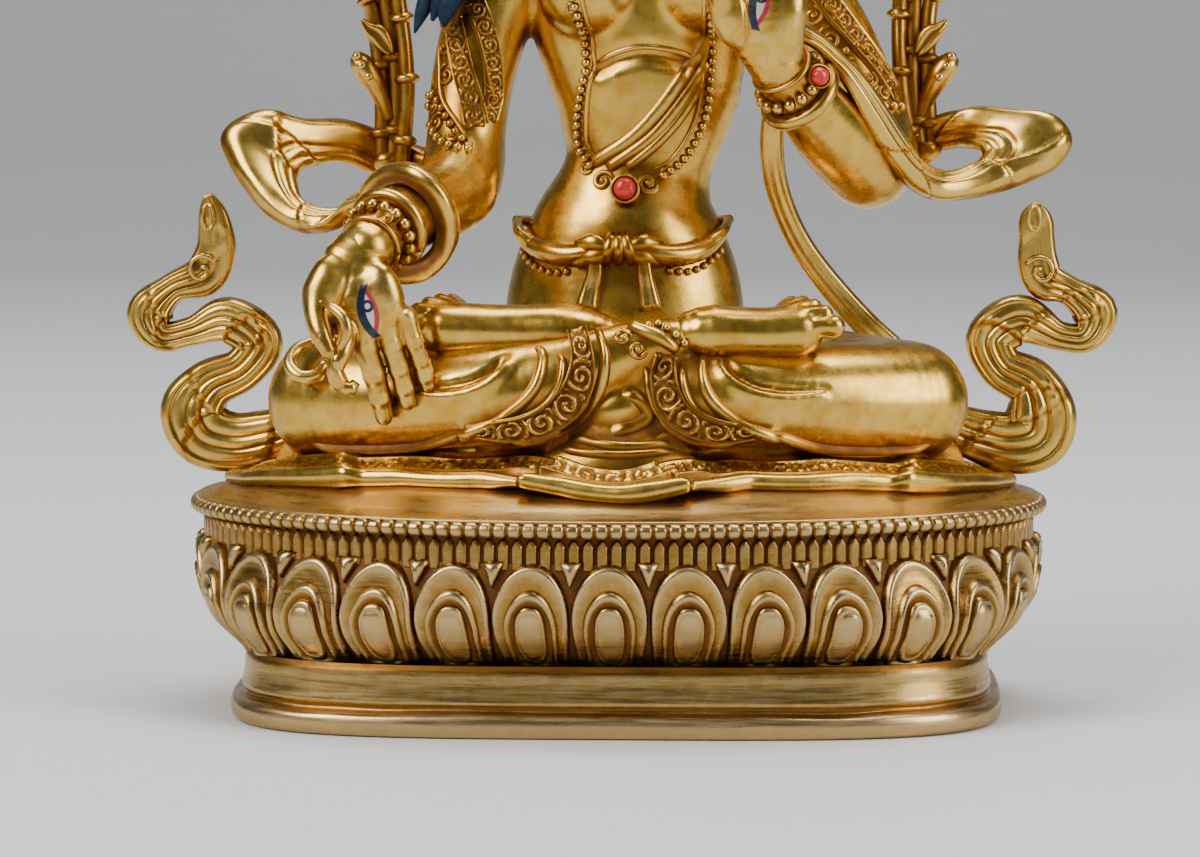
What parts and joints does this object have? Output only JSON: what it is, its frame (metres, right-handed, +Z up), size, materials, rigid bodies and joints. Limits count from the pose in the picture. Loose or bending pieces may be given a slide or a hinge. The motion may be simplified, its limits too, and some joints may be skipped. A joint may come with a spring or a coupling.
{
  "type": "seated tara figure",
  "caption": "Gilt copper figure of a seated goddess with lotus stalks and scrolled scarf ends on an oval lotus base.",
  "frame": {"origin": "centre of the base's flat underside", "axes": "+Z up to the topmost jewel, -Y to the side that the figure faces, +X to the figure's left"},
  "size_m": [0.167, 0.0928, 0.2029],
  "materials": {
    "base_gilt": "fire-gilt copper, brushed, with brown patina in the grooves",
    "gilt": "fire-gilt copper, burnished high points, warm patina in the folds",
    "coral": "polished coral cabochon",
    "turquoise": "polished turquoise cabochon"
  },
  "bodies": {
    "root": {"lotus_base": "base_gilt", "tara_figure": "gilt", "scarf_end_left": "gilt", "scarf_end_right": "gilt", "lotus_spray_left": "gilt", "lotus_spray_right": "gilt", "coral_pendant": "coral", "coral_bracelet": "coral", "coral_crown": "coral", "turquoise_collar": "turquoise"}
  },
  "joints": []
}
